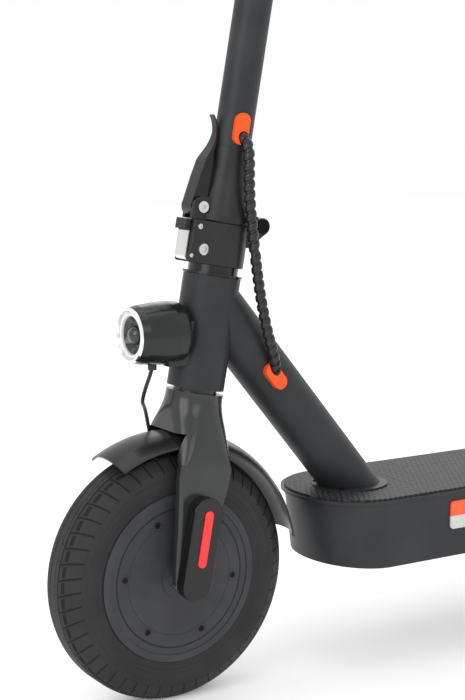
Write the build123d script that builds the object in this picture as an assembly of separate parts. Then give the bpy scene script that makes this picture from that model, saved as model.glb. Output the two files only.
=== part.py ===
from build123d import *

"""Folding electric kick scooter, standing upright on its tyres and kickstand.

Millimetres, +Z up. The origin is on the ground, midway along the scooter and on its centre plane.
The scooter faces -X, and the rider's left hand is on the -Y side.
"steer" pieces are drawn in the steering frame: origin at the front axle, Z up the steering axis,
X to the rear, Y to the rider's right.
"""

import os
from math import asin, atan2, cos, hypot, pi, radians, sin, tan

# ---------------------------------------------------------------- driving dimensions
# whole scooter
WHEELBASE = 900.0
FRONT_AXLE_X = -463.0
RAKE = 9.85  # the steering axis leans back by this angle, in degrees
BAR_HEIGHT = 1085.0  # from the front axle up the steering axis to the handlebar
BAR_WIDTH = 440.0

# fits
RUNNING = 0.05  # radial play of a pin in its hole
CLEAR = 0.4  # gap between pieces that move past each other
SEAT = 0.1  # radial play of a fixed shaft in its slot

# wheels: 10 inch tyres
WHEEL_R = 127.0
TYRE_WIDTH = 54.0
TYRE_FLAT = 20.0
TYRE_WALL = 6.0
RIM_R = 85.0
RIM_WIDTH = 50.8
RIM_FLANGE = 3.0
RIM_WELL_DEPTH = 5.0
AXLE_R = 6.0
BEARING_R = 14.0
BEARING_WIDTH = 8.0

# hub motor
MOTOR_COVER_R = 78.0
MOTOR_COVER_THICK = 4.0
MOTOR_SCREW_PCD = 123.4
MOTOR_SCREW_COUNT = 6
MOTOR_SCREW_R = 3.4
MAGNET_THICK = 3.0
MAGNET_BORE_R = 62.0
AIR_GAP = 0.8
STATOR_WIDTH = 28.0

# head tube, headset and steerer
HEAD_TUBE_R = 28.6
HEAD_TUBE_LOW = 187.0
HEAD_TUBE_LENGTH = 112.0
HEAD_TUBE_BORE_R = 20.0
HEADSET_R = 24.0
HEADSET_HEIGHT = 10.0
STEERER_R = 15.0
STEERER_WALL = 2.5
COLLAR_HEIGHT = 9.6
COLLAR_FLANGE_R = 30.0
COLLAR_R = 25.0

# down tube
DOWN_TUBE_R = 27.6
DOWN_TUBE_WALL = 2.5
DOWN_TUBE_SLOPE = 49.8  # degrees from the ground
DOWN_TUBE_START = (-382.0, 360.0)  # x, z of a point on its centre line behind the head tube
DOWN_TUBE_LEAD = 50.0  # from there up to the head tube's axis
BASE_FLANGE = (84.0, 74.0, 1.8)  # length, width, height above the mat

# fork
FORK_CROWN_TOP = 183.0
FORK_CROWN_R = 29.0
FORK_SHOULDER = 115.0
LEG_GAP = 68.0
LEG_THICK = 12.0
LEG_WIDTHS = ((115.0, 58.6), (100.0, 58.6), (52.0, 45.0), (9.0, 36.0), (-4.0, 31.0))
AXLE_COVER_R = 16.0
AXLE_COVER_LENGTH = 103.0
AXLE_COVER_DEPTH = 14.0
AXLE_COVER_WALL = 2.0
REFLECTOR = (9.0, 56.0, 1.4)  # width, length, thickness
REFLECTOR_CENTRE = 46.5  # above the axle, up the leg

# fenders
FENDER_R = 144.5
FENDER_WIDTH = 66.0
FENDER_DROP = 11.0
FENDER_WALL = 2.2
FRONT_FENDER_SPAN = (11.0, 120.0)  # degrees up from the rear horizontal
REAR_FENDER_SPAN = (0.0, 150.0)
TAIL_LIGHT_PROUD = 8.5

# folding hinge
HINGE_BASE_TOP = 350.7
HINGE_SPLIT = 0.6
HINGE_R = 29.0
HINGE_NOSE = 38.0
HINGE_NOSE_WIDTH = 30.0
HINGE_PIN_BACK = 40.0
HINGE_PIN_UP = 354.0
HINGE_PIN_R = 4.0
KNUCKLE_R = 8.5
KNUCKLE_WIDTH = 15.4
KNUCKLE_SPAN = 32.0
HEAD_FLARE_TOP = 425.0

# latch
LEVER_PIN_FRONT = 31.0
LEVER_PIN_UP = 363.5
LEVER_PIN_R = 3.0
LEVER_WIDTH = 18.0
LEVER_PLATE = 1.8
LEVER_DEPTH = 9.0
LEVER_FOOT_R = 10.6  # rounded lower end, about the pin
LEVER_TIP_HALF = 4.0
EAR_THICK = 4.0
EAR_R = 10.0
HOOK_PIN_FRONT = 35.6
HOOK_PIN_UP = 315.5
HOOK_PIN_R = 2.0
HOOK_BARREL_R = 5.0
HOOK_PLATE = 2.0
HOOK_WIDTH = 19.0
HOOK_HEIGHT = 24.5
THUMB_HEIGHT = 10.4
THUMB_DEPTH = 6.0

# stem and handlebar
STEM_R = 18.65
STEM_WALL = 2.2
CLAMP_SLEEVE_R = 22.5
CLAMP_BARREL_R = 18.0
CLAMP_BARREL_WIDTH = 72.0
BAR_R = 11.1
BAR_WALL = 2.0
BAR_CENTRE_WALL = 3.2
BAR_CENTRE_LENGTH = 130.0
GRIP_R = 16.0
GRIP_LENGTH = 118.0
DISPLAY = (48.0, 74.0, 20.0)  # length, width, height
DISPLAY_TILT = 20.0
LENS = (26.0, 50.0, 1.4)
BUTTON_R = 6.0
BUTTON_HEIGHT = 4.0
BUTTON_TRAVEL = 1.0
CONTROL_CLAMP_R = 16.5
CONTROL_CLAMP_WIDTH = 16.0
CONTROL_CLAMP_CENTRE = 66.0
PADDLE_WIDTH = 11.0
PADDLE_REACH = 42.0
BRAKE_PIVOT = (-34.0, 70.0)  # behind the bar axis (negative is in front), out from the centre
BRAKE_PIN_R = 2.5

# deck
DECK_LENGTH = 592.0
DECK_WIDTH = 154.0
DECK_BOTTOM = 116.0
DECK_TUB_HEIGHT = 68.0
DECK_WALL = 3.0
LID_THICK = 3.0
MAT_THICK = 2.2
MAT_INSET = 4.0
LID_OVERHANG = 2.0
NOSE_LENGTH = 72.0
NOSE_UNDERCUT = 15.0
NOSE_SEAM = 5.0  # behind the nose's widest place
MAT_REAR_GAP = 22.0
BATTERY = (300.0, 118.0, 54.0)
CONTROLLER = (76.0, 90.0, 36.0)
DECK_SCREW_R = 3.5
DECK_SCREW_ROWS = 4

# rear end
REAR_ARM_GAP = 94.0
REAR_ARM_THICK = 11.0
REAR_ARM_HEIGHT = 30.0
REAR_COVER_LENGTH = 60.0
REAR_COVER_DEPTH = 11.0
REAR_BLOCK = (26.0, 62.0)  # length inside the deck, height
DISC_R = 60.0
DISC_THICK = 2.0
DISC_Y = -32.0
PAD_R = 9.0
PAD_GAP = 0.8
PAD_TRAVEL = 0.5
CALIPER_X_BACK = 42.0
CALIPER_UP = 31.0

# kickstand
STAND_X = 40.0
STAND_Y = -60.0
STAND_PIVOT_Z = 105.0
STAND_LEAN = 30.0
STAND_R = 6.0
STAND_FOOT_R = 9.0

# headlamp
LAMP_Z = 368.0
LAMP_FRONT_X = -505.0
LAMP_FRONT_R = 28.0
LAMP_BACK_R = 31.5
LAMP_LENGTH = 54.0
LAMP_WALL = 2.0

# charging socket
SOCKET_X = -60.0
SOCKET_Z = 152.0
SOCKET_BORE_R = 4.0
SOCKET_BORE_DEPTH = 14.0
SOCKET_R = 9.0

# cords, routes chosen by hand
HARNESS_DIAMETER = 11.5
HARNESS_UPPER = [
    (-390.5, -15.8, 560.0), (-388.5, -26.8, 553.5), (-389.0, -31.0, 538.0), (-389.5, -31.5, 516.0),
    (-388.0, -31.0, 494.0), (-386.0, -31.5, 473.0), (-382.5, -31.5, 448.0),
]
HARNESS_LOWER = [
    (-382.5, -31.5, 448.0), (-379.0, -31.5, 423.0), (-375.0, -32.5, 398.0), (-370.0, -34.0, 373.0),
    (-364.0, -35.5, 350.0), (-357.5, -33.5, 333.0), (-353.5, -25.5, 322.5),
]
MOTOR_CABLE_DIAMETER = 4.0
MOTOR_CABLE = [
    (-479.5, 1.0, 334.5), (-482.0, 1.3, 326.0), (-485.0, 3.5, 316.0), (-485.0, 9.0, 305.5),
    (-481.5, 17.5, 297.5), (-472.5, 29.5, 291.5), (-464.0, 41.0, 281.5), (-457.5, 48.5, 268.5),
    (-452.5, 52.0, 254.0), (-447.5, 53.0, 240.0), (-445.89, 53.0, 225.53), (-448.8, 53.0, 208.78),
]

# ---------------------------------------------------------------- places worked out from the sizes
REAR_AXLE_X = FRONT_AXLE_X + WHEELBASE
STEER = Location((FRONT_AXLE_X, 0, WHEEL_R), (0, RAKE, 0))
FRONT_AXLE = Pos(FRONT_AXLE_X, 0, WHEEL_R)
REAR_AXLE = Pos(REAR_AXLE_X, 0, WHEEL_R)
BAR = STEER * Pos(0, 0, BAR_HEIGHT)
HEAD_TUBE_TOP = HEAD_TUBE_LOW + HEAD_TUBE_LENGTH
HINGE_BASE_LOW = HEAD_TUBE_TOP + CLEAR + COLLAR_HEIGHT
HINGE_HEAD_LOW = HINGE_BASE_TOP + HINGE_SPLIT
LEG_OUT = LEG_GAP / 2 + LEG_THICK
DECK_FRONT = -310.0
DECK_REAR = DECK_FRONT + DECK_LENGTH
NOSE_CENTRE = DECK_FRONT + NOSE_LENGTH
SEAM_X = NOSE_CENTRE + NOSE_SEAM
TUB_TOP = DECK_BOTTOM + DECK_TUB_HEIGHT
LID_TOP = TUB_TOP + LID_THICK
MAT_TOP = LID_TOP + MAT_THICK
REAR_ARM_OUT = REAR_ARM_GAP / 2 + REAR_ARM_THICK
STEERER_TOP = HINGE_BASE_TOP - 14


# ---------------------------------------------------------------- shapes used throughout
def block(x_range, y_range, z_range):
    """Box between two values on each axis."""
    centre = [(low + high) / 2 for low, high in (x_range, y_range, z_range)]
    sides = [high - low for low, high in (x_range, y_range, z_range)]
    return Pos(*centre) * Box(*sides)


def rod_z(radius, low, high, x=0.0, y=0.0):
    """Upright cylinder."""
    return Pos(x, y, (low + high) / 2) * Cylinder(radius, high - low)


def rod_y(radius, low, high, x=0.0, z=0.0):
    """Cylinder across the scooter."""
    return Pos(x, (low + high) / 2, z) * Rot(90, 0, 0) * Cylinder(radius, high - low)


def rod_x(radius, low, high, y=0.0, z=0.0):
    """Cylinder along the scooter."""
    return Pos((low + high) / 2, y, z) * Rot(0, 90, 0) * Cylinder(radius, high - low)


def ring_y(outer, inner, low, high):
    """Washer-shaped ring about the wheel's axis."""
    return rod_y(outer, low, high) - rod_y(inner, low - 1, high + 1)


def spun(points):
    """Solid of revolution about Y from (radius, y) points."""
    return revolve(make_face(Polyline(*points, close=True)), Axis.Y)


def turned(points):
    """Solid of revolution about Z from (radius, z) points."""
    outline = make_face(Polyline(*[(r, z) for r, z in points], close=True))
    return revolve(Plane.XZ * outline, Axis.Z)


def side_plate(points, half_width):
    """Plate cut to an outline of (x, z) points, with its thickness across the scooter."""
    face = Plane.XZ * make_face(Polyline(*points, close=True))
    return extrude(face, half_width, both=True)


def capsule(length, width, depth):
    """Flat bar with round ends, its length along Z and its depth along Y."""
    return extrude(Plane.XZ * SlotOverall(length, width, rotation=90), depth / 2, both=True)


def both_sides(shape):
    """The shape and its mirror image on the other side of the scooter."""
    return Compound([*shape.solids(), *mirror(shape, Plane.XZ).solids()])


def fillet_radii(points):
    """Largest even arcs that the runs of a cord's route allow."""
    places = [Vector(*p) for p in points]
    radii = []
    for before, here, after in zip(places, places[1:], places[2:]):
        first = here - before
        second = after - here
        turn = radians(first.get_angle(second))
        radii.append(0.45 * min(first.length, second.length) / tan(turn / 2))
    return radii


def round_tube(points, radius):
    """Round solid along straight runs joined by tangent arcs."""
    path = FilletPolyline(*points, radius=fillet_radii(points))
    start = Plane(origin=points[0], z_dir=path % 0)
    return sweep(start * Circle(radius), path), path.length


def cord(name, points, diameter):
    """One cord, with its bend radii, its length and its volume against a straight cord's."""
    tube, length = round_tube(points, diameter / 2)
    print(name, "radii", [round(r, 1) for r in fillet_radii(points)])
    print(name, "length", round(length, 1), "volume share", round(4 * tube.volume / pi / diameter**2 / length, 4))
    return tube


def harness_room(points):
    """Hole that lets the wiring harness through a wall."""
    tube, length = round_tube(points, HARNESS_DIAMETER / 2 + SEAT)
    return tube


# ---------------------------------------------------------------- wheels
def tyre():
    """Tyre casing, open towards the rim, with a flat-crowned tread."""
    half = TYRE_WIDTH / 2
    bead = RIM_WIDTH / 2 - RIM_FLANGE - CLEAR / 2
    low = RIM_R + CLEAR / 2
    well = RIM_R - RIM_WELL_DEPTH + CLEAR / 2
    shoulder = RIM_R + 0.62 * (WHEEL_R - RIM_R)
    outside = [(well, bead), (low, bead), (low, half - 3), (low + 9, half - 0.8), (shoulder - 8, half),
               (shoulder, half - 1.5), (WHEEL_R - 6, half - 8), (WHEEL_R - 1.6, half - 12.5),
               (WHEEL_R, TYRE_FLAT / 2)]
    inside = [(WHEEL_R - TYRE_WALL, half - 15), (shoulder, half - TYRE_WALL - 1),
              (low + 9, half - TYRE_WALL), (low, bead - TYRE_WALL / 2), (well, bead - TYRE_WALL / 2)]
    return spun(outside + [(r, -y) for r, y in reversed(outside)]
                + [(r, -y) for r, y in reversed(inside)] + inside)


def rim_outline(bore):
    """Rim section with a well and two flanges, from its bore outwards, as (radius, y) points."""
    half = RIM_WIDTH / 2
    well = RIM_R - RIM_WELL_DEPTH
    right = [(bore, half), (RIM_R, half), (RIM_R, half - RIM_FLANGE), (well, half - RIM_FLANGE)]
    return right + [(r, -y) for r, y in reversed(right)]


def wheel_bearings(centre_y):
    """Two ball bearings, drawn as plain rings."""
    ring = ring_y(BEARING_R, AXLE_R + RUNNING, centre_y - BEARING_WIDTH / 2, centre_y + BEARING_WIDTH / 2)
    return both_sides(ring)


COVER_OUT = RIM_WIDTH / 2 - 0.8
COVER_IN = COVER_OUT - MOTOR_COVER_THICK


def motor_hub_shell():
    shell = spun(rim_outline(MAGNET_BORE_R + MAGNET_THICK))
    for low, high in ((COVER_IN, RIM_WIDTH), (-RIM_WIDTH, -COVER_IN)):
        shell -= rod_y(MOTOR_COVER_R + SEAT, low, high)
    return shell


def motor_screw_places():
    return [Rot(0, 6 + index * 360 / MOTOR_SCREW_COUNT, 0) * Pos(MOTOR_SCREW_PCD / 2, 0, 0)
            for index in range(MOTOR_SCREW_COUNT)]


def motor_covers():
    cover = rod_y(MOTOR_COVER_R, COVER_IN, COVER_OUT)
    cover += rod_y(BEARING_R + 6, COVER_IN - 6, COVER_OUT + 1.2)
    cover -= rod_y(BEARING_R, COVER_IN - 7, COVER_IN - 6 + BEARING_WIDTH)
    cover -= rod_y(AXLE_R + 2, 0, RIM_WIDTH)
    for place in motor_screw_places():
        cover -= place * rod_y(MOTOR_SCREW_R, COVER_OUT - 1.6, COVER_OUT + 1)
    return both_sides(cover)


def motor_cover_screws():
    screws = []
    for place in motor_screw_places():
        head = rod_y(MOTOR_SCREW_R - SEAT, COVER_OUT - 1.6, COVER_OUT - 0.2)
        head -= rod_y(1.5, COVER_OUT - 1.1, COVER_OUT)
        screws += (place * head).solids()
    return both_sides(Compound(screws))


def magnet_ring():
    half = STATOR_WIDTH / 2
    return ring_y(MAGNET_BORE_R + MAGNET_THICK, MAGNET_BORE_R, -half, half)


def stator_and_axle():
    """Wound stator pressed on the front axle, with the axle's nuts."""
    half = STATOR_WIDTH / 2
    stator = ring_y(MAGNET_BORE_R - AIR_GAP, AXLE_R, -half, half)
    slots = [Rot(0, index * 40, 0) * block((30, 52), (-half, half), (-6, 6)) for index in range(9)]
    for slot in slots:
        stator -= slot
    axle = rod_y(AXLE_R, -LEG_OUT - 9, LEG_OUT + 9)
    spacer = ring_y(AXLE_R + 6, AXLE_R, COVER_OUT + 1.6, LEG_GAP / 2)
    washer = ring_y(AXLE_COVER_R - AXLE_COVER_WALL - 0.6, AXLE_R, LEG_OUT, LEG_OUT + 2)
    nut = extrude(Plane.XZ.offset(-LEG_OUT - 2) * RegularPolygon(9.5, 6), -6) - rod_y(AXLE_R, 0, 90)
    return [stator, axle, *both_sides(spacer).solids(), *both_sides(washer).solids(), *both_sides(nut).solids()]


def rear_rim():
    """Cast wheel: rim, five spokes and a hub that carries the brake disc."""
    ring = spun(rim_outline(RIM_R - RIM_WELL_DEPTH - 5))
    hub_half = RIM_WIDTH / 2 - 2
    wheel = ring + rod_y(BEARING_R + 5, DISC_Y + DISC_THICK / 2, hub_half)
    for index in range(5):
        spoke = block((BEARING_R + 3, RIM_R - RIM_WELL_DEPTH - 3), (-8, 8), (-7, 7))
        wheel += Rot(0, 18 + index * 72, 0) * spoke
    wheel -= rod_y(AXLE_R + 3, -80, 80)
    wheel -= rod_y(BEARING_R, hub_half - BEARING_WIDTH, hub_half + 1)
    wheel -= rod_y(BEARING_R, -hub_half - 20, -hub_half + BEARING_WIDTH)
    return wheel


def rear_bearings():
    hub_half = RIM_WIDTH / 2 - 2
    return wheel_bearings(hub_half - BEARING_WIDTH / 2)


def brake_disc():
    low = DISC_Y - DISC_THICK / 2
    disc = ring_y(DISC_R, BEARING_R, low, low + DISC_THICK)
    for index in range(12):
        disc -= Rot(0, index * 30, 0) * rod_y(3.5, low - 1, low + 5, x=38)
        disc -= Rot(0, 15 + index * 30, 0) * rod_y(2.2, low - 1, low + 5, x=50)
    for index in range(5):
        disc -= Rot(0, index * 72, 0) * rod_y(5, low - 1, low + 5, x=27)
    return disc


def rear_axle():
    axle = rod_y(AXLE_R, -REAR_ARM_OUT - 7.5, REAR_ARM_OUT + 7.5)
    right_spacer = ring_y(AXLE_R + 4, AXLE_R, RIM_WIDTH / 2 - 1.6, REAR_ARM_GAP / 2)
    left_spacer = ring_y(AXLE_R + 4, AXLE_R, -REAR_ARM_GAP / 2, DISC_Y - DISC_THICK / 2 - 0.6)
    nut = extrude(Plane.XZ.offset(-REAR_ARM_OUT) * RegularPolygon(9.5, 6), -6) - rod_y(AXLE_R, 0, 90)
    return [axle, right_spacer, left_spacer, *both_sides(nut).solids()]


# ---------------------------------------------------------------- frame
def down_tube_point(along):
    """Point on the down tube's centre line, that far from its start."""
    x, z = DOWN_TUBE_START
    slope = radians(DOWN_TUBE_SLOPE)
    return Vector(x + along * cos(slope), 0, z - along * sin(slope))


def down_tube_rod(radius, low, high):
    """Cylinder along the down tube's centre line."""
    start = down_tube_point(low)
    direction = down_tube_point(high) - start
    return extrude(Plane(origin=start, z_dir=direction) * Circle(radius), high - low)


TUBE_END = (DOWN_TUBE_START[1] - DECK_BOTTOM) / sin(radians(DOWN_TUBE_SLOPE))
FLANGE_X = DOWN_TUBE_START[0] + (DOWN_TUBE_START[1] - MAT_TOP) / tan(radians(DOWN_TUBE_SLOPE))


def grommet_frame_place():
    """Where the cord enters the down tube: on its left side, its length along the tube."""
    x, z = HARNESS_LOWER[-1][0] - 1.0, HARNESS_LOWER[-1][2] - 2.5
    return Pos(x, -DOWN_TUBE_R, z) * Rot(0, 90 + DOWN_TUBE_SLOPE, 0)


def grommet_stem_place():
    """Where the cord leaves the stem: on its left side, a little to the front."""
    return STEER * Rot(0, 0, -12) * Pos(0, -STEM_R, 444.0)


GROMMET = (15.0, 31.0, 2.2)  # width, length, how far it stands proud


def grommet(place, wall, points):
    """Oval rubber ring in a tube's side, with the cord through it."""
    width, length, proud = GROMMET
    lip = place * Pos(0, 0.5 * (wall + 1.0) - proud, 0) * capsule(length, width, 2 * proud + wall)
    rest = lip - harness_room(points)
    return max(rest.solids(), key=lambda solid: solid.volume)


def main_frame():
    """Head tube and down tube in one weldment, with the flange that closes the deck."""
    length, width, height = BASE_FLANGE
    frame = STEER * rod_z(HEAD_TUBE_R, HEAD_TUBE_LOW, HEAD_TUBE_TOP)
    frame += down_tube_rod(DOWN_TUBE_R, -DOWN_TUBE_LEAD, TUBE_END + 40)
    frame += Pos(FLANGE_X, 0, MAT_TOP) * extrude(Ellipse(length / 2, width / 2), height)
    frame -= down_tube_rod(DOWN_TUBE_R - DOWN_TUBE_WALL, HEAD_TUBE_R, TUBE_END + 50)
    frame -= block((-600, 200), (-90, 90), (0, DECK_BOTTOM + DECK_WALL))
    frame -= STEER * rod_z(HEAD_TUBE_BORE_R, HEAD_TUBE_LOW - 20, HEAD_TUBE_TOP + 60)
    frame -= STEER * rod_z(HEAD_TUBE_R + 5, HEAD_TUBE_TOP, HEAD_TUBE_TOP + 40)
    frame -= STEER * rod_z(HEADSET_R, HEAD_TUBE_LOW - 9, HEAD_TUBE_LOW + HEADSET_HEIGHT)
    frame -= STEER * rod_z(HEADSET_R, HEAD_TUBE_TOP - HEADSET_HEIGHT, HEAD_TUBE_TOP + 9)
    frame -= STEER * rod_z(HEAD_TUBE_R + 5, HEAD_TUBE_LOW - 90, HEAD_TUBE_LOW)
    place = grommet_frame_place()
    width, length, proud = GROMMET
    frame -= place * capsule(length - 2, width - 2, 30)
    frame -= grommet_seat(place)
    return frame - harness_room(HARNESS_LOWER)


def grommet_seat(place):
    """Pocket for a grommet's lip in the curved side of its tube."""
    width, length, proud = GROMMET
    return place * Pos(0, -4.0, 0) * capsule(length + 0.2, width + 0.2, 14)


def headset_bearings():
    lower = rod_z(HEADSET_R, HEAD_TUBE_LOW, HEAD_TUBE_LOW + HEADSET_HEIGHT)
    upper = rod_z(HEADSET_R, HEAD_TUBE_TOP - HEADSET_HEIGHT, HEAD_TUBE_TOP)
    bore = rod_z(STEERER_R + RUNNING, HEAD_TUBE_LOW - 9, HEAD_TUBE_TOP + 9)
    return [STEER * (lower - bore), STEER * (upper - bore)]


# ---------------------------------------------------------------- fork and front fender
def fork():
    """Steerer, crown and two legs in one forging."""
    crown_d = 2 * FORK_CROWN_R
    out = 2 * LEG_OUT
    sections = [
        Plane.XY.offset(FORK_CROWN_TOP) * RectangleRounded(crown_d, crown_d, FORK_CROWN_R - 0.1),
        Plane.XY.offset(FORK_CROWN_TOP - 12) * RectangleRounded(crown_d, crown_d + 1, FORK_CROWN_R - 0.5),
        Plane.XY.offset(FORK_SHOULDER + 34) * RectangleRounded(crown_d, (crown_d + out) / 2, 22),
        Plane.XY.offset(FORK_SHOULDER + 12) * RectangleRounded(LEG_WIDTHS[0][1], out - 3, 14),
        Plane.XY.offset(FORK_SHOULDER) * RectangleRounded(LEG_WIDTHS[0][1], out, 6),
    ]
    body = loft(sections)
    body -= rod_y(FENDER_R + 1.0, -LEG_GAP / 2, LEG_GAP / 2)
    body -= block((-60, 60), (-LEG_GAP / 2, LEG_GAP / 2), (0, FORK_SHOULDER + 8))
    leg_y = LEG_GAP / 2 + LEG_THICK / 2
    for (high, high_width), (low, low_width) in zip(LEG_WIDTHS, LEG_WIDTHS[1:]):
        ends = [Plane.XY.offset(z) * Pos(0, leg_y) * RectangleRounded(w, LEG_THICK, 4)
                for z, w in ((high, high_width), (low, low_width))]
        leg = loft(ends, ruled=True)
        body += leg
        body += mirror(leg, Plane.XZ)
    body -= rod_y(AXLE_R + SEAT, -60, 60)
    body -= block((-AXLE_R - SEAT, AXLE_R + SEAT), (-60, 60), (-40, 0))
    body += rod_z(HEADSET_R - 2, FORK_CROWN_TOP - 6, HEAD_TUBE_LOW - CLEAR)
    body += rod_z(STEERER_R, FORK_CROWN_TOP - 20, STEERER_TOP)
    body -= rod_z(STEERER_R - STEERER_WALL, 120, STEERER_TOP + 1)
    return STEER * body


def fender(span):
    """Domed mudguard about a wheel's axle, over a span of degrees up from the rear."""
    half = FENDER_WIDTH / 2
    low, high = span
    edge = FENDER_R - FENDER_DROP
    outer = ThreePointArc((edge, -half), (FENDER_R, 0), (edge, half))
    inner = ThreePointArc((edge - FENDER_WALL, half), (FENDER_R - FENDER_WALL, 0), (edge - FENDER_WALL, -half))
    section = make_face([outer, Line(outer @ 1, inner @ 0), inner, Line(inner @ 1, outer @ 0)])
    return Rot(0, -high, 0) * revolve(section, Axis.Y, high - low)


def front_fender():
    return FRONT_AXLE * fender(FRONT_FENDER_SPAN)


def axle_covers(place, inner_y, length, depth, low_end):
    """Two round-ended covers over the axle's nuts, hollow on the inside."""
    centre = length / 2 - low_end
    shell = Pos(0, inner_y + depth / 2, centre) * capsule(length, 2 * AXLE_COVER_R, depth)
    rim = shell.edges().filter_by(Plane.XZ).group_by(Axis.Y)[-1]
    shell = fillet(rim, AXLE_COVER_WALL)
    wall = AXLE_COVER_WALL
    hollow = capsule(length - 2 * wall, 2 * (AXLE_COVER_R - wall), depth)
    shell -= Pos(0, inner_y + depth / 2 - wall - 0.6, centre) * hollow
    return place * both_sides(shell)


FRONT_COVER_OUT = LEG_OUT + AXLE_COVER_DEPTH
REAR_COVER_OUT = REAR_ARM_OUT + REAR_COVER_DEPTH


def front_axle_covers():
    covers = axle_covers(STEER, LEG_OUT, AXLE_COVER_LENGTH, AXLE_COVER_DEPTH, AXLE_COVER_R)
    inlet = STEER * rod_z(MOTOR_CABLE_DIAMETER / 2 + 0.6, 70, 100, y=LEG_OUT + AXLE_COVER_DEPTH / 2)
    return covers - inlet


def front_reflectors():
    width, length, thick = REFLECTOR
    strip = Pos(0, FRONT_COVER_OUT + thick / 2, REFLECTOR_CENTRE) * capsule(length, width, thick)
    return STEER * both_sides(strip)


# ---------------------------------------------------------------- folding hinge and latch
def hinge_base():
    """Lower half of the folding hinge, clamped on the steerer."""
    low, top = HINGE_BASE_LOW, HINGE_BASE_TOP
    outline = make_hull([*Circle(HINGE_R).edges(),
                         *(Pos(-HINGE_NOSE + 4, 0) * RectangleRounded(8, HINGE_NOSE_WIDTH, 3)).edges()])
    base = extrude(Plane.XY.offset(low) * outline, top - low)
    base = fillet(base.edges().group_by(Axis.Z)[0], 2.0)
    knuckle_low = HINGE_PIN_UP - 23
    cheek = [(0, knuckle_low - 3), (HINGE_R - 1.5, knuckle_low), (HINGE_PIN_BACK + 0.7 * KNUCKLE_R,
             HINGE_PIN_UP - 0.7 * KNUCKLE_R), (HINGE_PIN_BACK - 0.9 * KNUCKLE_R, top), (0, top)]
    lugs = side_plate(cheek, KNUCKLE_SPAN / 2)
    lugs += rod_y(KNUCKLE_R, -KNUCKLE_SPAN / 2, KNUCKLE_SPAN / 2, x=HINGE_PIN_BACK, z=HINGE_PIN_UP)
    base += lugs
    gap = KNUCKLE_WIDTH / 2 + CLEAR
    base -= rod_y(KNUCKLE_R + CLEAR, -gap, gap, x=HINGE_PIN_BACK, z=HINGE_PIN_UP)
    base -= block((HINGE_PIN_BACK - KNUCKLE_R - CLEAR, 90), (-gap, gap), (HINGE_PIN_UP - 2, 400))
    base -= rod_y(HINGE_PIN_R, -40, 40, x=HINGE_PIN_BACK, z=HINGE_PIN_UP)
    base -= rod_z(STEERER_R, low - 1, STEERER_TOP + 0.5)
    base -= rod_z(STEERER_R - STEERER_WALL, low, top + 1)
    hook = HOOK_WIDTH / 2 + CLEAR
    base -= rod_y(HOOK_BARREL_R + CLEAR, -hook, hook, x=-HOOK_PIN_FRONT, z=HOOK_PIN_UP)
    base -= block((-HOOK_PIN_FRONT - 9, -HOOK_PIN_FRONT), (-hook, hook), (low - 1, HOOK_PIN_UP + 1))
    base -= rod_y(HOOK_PIN_R, -30, 30, x=-HOOK_PIN_FRONT, z=HOOK_PIN_UP)
    for x, z, radius, depth in HINGE_BOLTS:
        hole = rod_y(radius + SEAT, -60, -bolt_face(x) + depth, x=-x, z=z)
        base -= hole
        base -= mirror(hole, Plane.XZ)
    return STEER * base


HINGE_BOLTS = ((26.0, 323.0, 5.6, 2.4), (32.0, 346.0 - 1.5, 2.6, 1.2))  # front, up, head radius, depth


def bolt_face(front):
    """Half-width of the hinge block, that far in front of the steering axis."""
    nose_half = HINGE_NOSE_WIDTH / 2
    corner = HINGE_NOSE - 3
    reach = hypot(corner, nose_half - 3)
    lean = asin((HINGE_R - 3) / reach) - atan2(nose_half - 3, corner)
    return HINGE_R / cos(lean) - front * tan(lean)


def hinge_fasteners():
    """Hinge pin with button ends, hook pin and the block's bolts."""
    half = KNUCKLE_SPAN / 2
    pin = rod_y(HINGE_PIN_R, -half, half, x=HINGE_PIN_BACK, z=HINGE_PIN_UP)
    for low in (-half - 2.4, half):
        pin += rod_y(HINGE_PIN_R + 3, low, low + 2.4, x=HINGE_PIN_BACK, z=HINGE_PIN_UP)
    hook_half = HINGE_NOSE_WIDTH / 2 - 0.3
    pieces = [pin, rod_y(HOOK_PIN_R, -hook_half, hook_half, x=-HOOK_PIN_FRONT, z=HOOK_PIN_UP)]
    for x, z, radius, depth in HINGE_BOLTS:
        face = bolt_face(x)
        head = rod_y(radius, -face - 0.6, -face + depth, x=-x, z=z)
        head -= rod_y(0.55 * radius, -face - 1, -face + 0.6 * depth, x=-x, z=z)
        pieces += both_sides(head).solids()
    return [STEER * piece for piece in pieces]


def headset_collar():
    """Turned ring between the head tube and the folding hinge."""
    low = HEAD_TUBE_TOP + CLEAR
    ring = rod_z(COLLAR_FLANGE_R, low, low + 2) + rod_z(COLLAR_R, low, low + COLLAR_HEIGHT)
    return STEER * (ring - rod_z(STEERER_R, low - 1, low + 20))


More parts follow.
